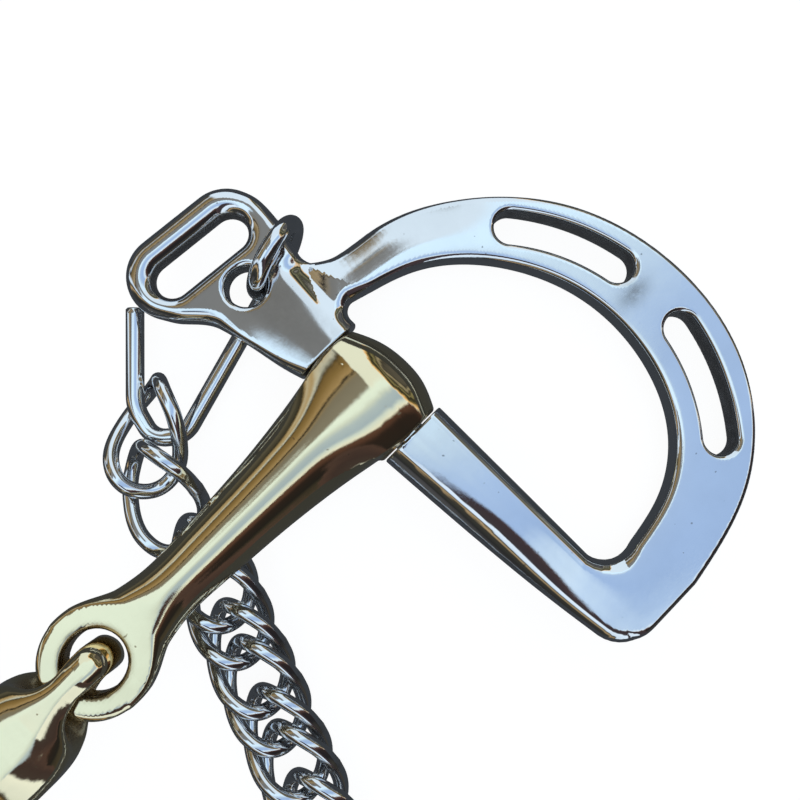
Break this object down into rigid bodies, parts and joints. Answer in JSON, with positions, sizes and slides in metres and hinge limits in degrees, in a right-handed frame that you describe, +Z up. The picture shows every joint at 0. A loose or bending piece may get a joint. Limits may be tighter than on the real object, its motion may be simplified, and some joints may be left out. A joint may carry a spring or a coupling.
{
  "type": "curb bit",
  "caption": "Slotted D cheek curb bit with a double-jointed brass mouthpiece, two curb hooks and a twisted double-link curb chain, laid flat.",
  "frame": {"origin": "on the surface the bit lies on, under the middle of the whole bit's box; the mouthpiece's line is at y = 16.86 mm and the centre link at x = 0", "axes": "+X along the mouthpiece towards the left cheek, +Y towards the bridle loops, +Z up"},
  "size_m": [0.2648, 0.1258, 0.0296],
  "materials": {
    "polished_steel": "mirror polished stainless steel",
    "brass": "polished pale brass, a little tarnished in the eyes"
  },
  "bodies": {
    "left_cheek": {"left_cheek": "polished_steel", "left_cheek_pin": "polished_steel"},
    "left_arm": {"left_mouth_arm": "brass"},
    "centre_link": {"centre_link": "brass"},
    "right_arm": {"right_mouth_arm": "brass"},
    "right_cheek": {"right_cheek": "polished_steel", "right_cheek_pin": "polished_steel"},
    "left_hook": {"left_curb_hook": "polished_steel"},
    "right_hook": {"right_curb_hook": "polished_steel"},
    "chain_left_end_1": {"chain_left_end_ring_1": "polished_steel"},
    "chain_left_end_2": {"chain_left_end_ring_2": "polished_steel"},
    "chain_pair_1": {"chain_pair_1_ring_a": "polished_steel", "chain_pair_1_ring_b": "polished_steel"},
    "chain_pair_2": {"chain_pair_2_ring_a": "polished_steel", "chain_pair_2_ring_b": "polished_steel"},
    "chain_pair_3": {"chain_pair_3_ring_a": "polished_steel", "chain_pair_3_ring_b": "polished_steel"},
    "chain_pair_4": {"chain_pair_4_ring_a": "polished_steel", "chain_pair_4_ring_b": "polished_steel"},
    "chain_pair_5": {"chain_pair_5_ring_a": "polished_steel", "chain_pair_5_ring_b": "polished_steel"},
    "chain_pair_6": {"chain_pair_6_ring_a": "polished_steel", "chain_pair_6_ring_b": "polished_steel"},
    "chain_pair_7": {"chain_pair_7_ring_a": "polished_steel", "chain_pair_7_ring_b": "polished_steel"},
    "chain_pair_8": {"chain_pair_8_ring_a": "polished_steel", "chain_pair_8_ring_b": "polished_steel"},
    "chain_pair_9": {"chain_pair_9_ring_a": "polished_steel", "chain_pair_9_ring_b": "polished_steel"},
    "chain_right_end_1": {"chain_right_end_ring_1": "polished_steel"},
    "chain_right_end_2": {"chain_right_end_ring_2": "polished_steel"}
  },
  "joints": [
    {"name": "left_arm_turn", "type": "hinge", "parent": "left_cheek", "child": "left_arm", "pos_m": [0.0788, 0.01686, 0.0088], "axis": [0, 1, 0], "range_deg": [0, 150]},
    {"name": "left_link_joint", "type": "hinge", "parent": "left_arm", "child": "centre_link", "pos_m": [0.01226, 0.01686, 0.02234], "axis": [0, 1, 0], "range_deg": [-18, 40]},
    {"name": "right_link_joint", "type": "hinge", "parent": "centre_link", "child": "right_arm", "pos_m": [-0.01226, 0.01686, 0.02234], "axis": [0, 1, 0], "range_deg": [-18, 40]},
    {"name": "right_cheek_turn", "type": "hinge", "parent": "right_arm", "child": "right_cheek", "pos_m": [-0.0788, 0.01686, 0.0088], "axis": [0, 1, 0], "range_deg": [-120, 120]},
    {"name": "left_hook_swing", "type": "hinge", "parent": "left_cheek", "child": "left_hook", "pos_m": [0.08427, 0.04506, 0.00821], "axis": [0.278, -0.9606, 0], "range_deg": [0, 60]},
    {"name": "right_hook_swing", "type": "hinge", "parent": "right_cheek", "child": "right_hook", "pos_m": [-0.08427, 0.04506, 0.00821], "axis": [0.278, 0.9606, 0], "range_deg": [0, 60]},
    {"name": "chain_left_end_1_swing", "type": "hinge", "parent": "left_hook", "child": "chain_left_end_1", "pos_m": [0.0482, 0.03706, 0.00475], "axis": [-0.7729, 0.6324, 0.0527], "range_deg": [-0.5, 2]},
    {"name": "chain_left_end_2_swing", "type": "hinge", "parent": "chain_left_end_1", "child": "chain_left_end_2", "pos_m": [0.0434, 0.03463, 0.00677], "axis": [0, 0, 1], "range_deg": [-4, 4]},
    {"name": "chain_pair_1_swing", "type": "hinge", "parent": "chain_left_end_2", "child": "chain_pair_1", "pos_m": [0.03782, 0.02075, 0.00575], "axis": [0, 0, 1], "range_deg": [-4, 4]},
    {"name": "chain_pair_2_swing", "type": "hinge", "parent": "chain_pair_1", "child": "chain_pair_2", "pos_m": [0.03231, 0.00404, 0.00475], "axis": [0, 0, 1], "range_deg": [-6, 6]},
    {"name": "chain_pair_3_swing", "type": "hinge", "parent": "chain_pair_2", "child": "chain_pair_3", "pos_m": [0.02643, -0.01127, 0.00475], "axis": [-0.9336, 0.3584, 0], "range_deg": [0, 12]},
    {"name": "chain_pair_4_swing", "type": "hinge", "parent": "chain_pair_3", "child": "chain_pair_4", "pos_m": [0.02043, -0.02653, 0.00475], "axis": [-0.9278, 0.3731, 0], "range_deg": [0, 12]},
    {"name": "chain_pair_5_swing", "type": "hinge", "parent": "chain_pair_4", "child": "chain_pair_5", "pos_m": [0.0124, -0.04052, 0.00475], "axis": [-0.7892, 0.6142, 0], "range_deg": [0, 12]},
    {"name": "chain_pair_6_swing", "type": "hinge", "parent": "chain_pair_5", "child": "chain_pair_6", "pos_m": [0.0002, -0.05055, 0.00475], "axis": [-0.4497, 0.8932, 0], "range_deg": [0, 12]},
    {"name": "chain_pair_7_swing", "type": "hinge", "parent": "chain_pair_6", "child": "chain_pair_7", "pos_m": [-0.01513, -0.05438, 0.00475], "axis": [-0.0232, 0.9997, 0], "range_deg": [0, 12]},
    {"name": "chain_pair_8_swing", "type": "hinge", "parent": "chain_pair_7", "child": "chain_pair_8", "pos_m": [-0.03061, -0.05127, 0.00475], "axis": [0.4078, 0.9131, 0], "range_deg": [0, 12]},
    {"name": "chain_pair_9_swing", "type": "hinge", "parent": "chain_pair_8", "child": "chain_pair_9", "pos_m": [-0.04327, -0.04181, 0.00475], "axis": [0.76, 0.6499, 0], "range_deg": [0, 12]},
    {"name": "chain_right_end_1_swing", "type": "hinge", "parent": "chain_pair_9", "child": "chain_right_end_1", "pos_m": [-0.04862, -0.0268, 0.00528], "axis": [1, 0.0095, 0], "range_deg": [0, 12]},
    {"name": "chain_right_end_2_swing", "type": "hinge", "parent": "chain_right_end_1", "child": "chain_right_end_2", "pos_m": [-0.0439, -0.01229, 0.00575], "axis": [0.7621, -0.6475, 0], "range_deg": [0, 12]}
  ]
}
